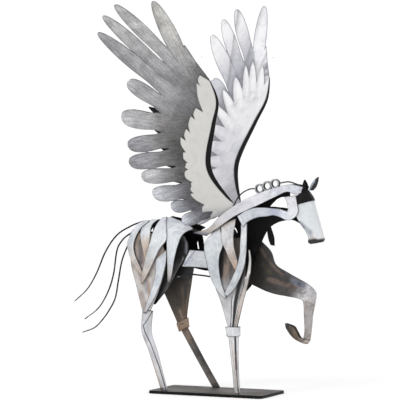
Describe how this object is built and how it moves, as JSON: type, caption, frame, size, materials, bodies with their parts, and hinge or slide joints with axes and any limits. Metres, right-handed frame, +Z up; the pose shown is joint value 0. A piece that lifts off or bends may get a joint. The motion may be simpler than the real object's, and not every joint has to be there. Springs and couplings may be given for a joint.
{
  "type": "pegasus sculpture",
  "caption": "Winged horse sculpture of cut, bent and welded sheet metal, walking with raised wings on a flat rectangular base plate.",
  "frame": {"origin": "centre of the base plate's underside", "axes": "+X the way the horse faces, along the plate's length; +Y to the horse's left; +Z up"},
  "size_m": [0.5535, 0.57, 0.78],
  "materials": {
    "plate": "dark brown, satin",
    "patina": "white rubbed over steel, brown at the ends, satin",
    "brushed": "brushed grey",
    "cream": "cream, matt",
    "pearl": "lilac white, matt",
    "raw": "brown streaked steel",
    "rust": "orange brown",
    "black": "black, satin",
    "wire": "dark steel wire"
  },
  "bodies": {
    "root": {"back_bar": "black", "base_plate": "plate", "belly_band_left": "brushed", "belly_band_right": "brushed", "belly_wire": "wire", "breast_strip_left": "patina", "breast_strip_right": "patina", "cannon_right": "patina", "cheek_strip_left": "patina", "cheek_strip_right": "patina", "chest_strip_left": "black", "crest_strip": "black", "croup_blade_left": "patina", "croup_blade_right": "patina", "croup_crescent_left": "patina", "croup_crescent_right": "patina", "curled_mane": "wire", "ear_left": "black", "ear_right": "black", "face_shell": "patina", "flank_sheet_left": "black", "forearm_edge_strip_right": "patina", "forearm_sheet_right": "raw", "forehead_cap": "black", "foreleg_left": "raw", "hock_band_left": "rust", "hoof_left": "raw", "inner_covert_left": "pearl", "inner_covert_right": "pearl", "jaw_plate": "black", "knee_band_right": "patina", "loin_blade_left": "patina", "loin_blade_right": "patina", "long_feathers_left": "brushed", "long_feathers_right": "brushed", "mane_strip_left": "patina", "mane_strip_right": "patina", "neck_plate": "black", "outer_covert_left": "cream", "outer_covert_right": "cream", "shank_left_hind": "raw", "shank_right_hind": "patina", "shoulder_blade_left": "patina", "shoulder_blade_right": "patina", "shoulder_leaf_left": "patina", "shoulder_leaf_right": "patina", "stifle_crescent_left": "patina", "stifle_crescent_right": "patina", "tail_side_strip_left": "patina", "tail_side_strip_right": "patina", "tail_wire_1": "wire", "tail_wire_2": "wire", "tail_wire_3": "wire", "thigh_inner_wall_left": "raw", "thigh_inner_wall_right": "black", "thigh_sheet_left": "raw", "thigh_sheet_right": "raw", "throat_strip": "black", "wing_edge_left": "black", "wing_edge_right": "black"}
  },
  "joints": []
}
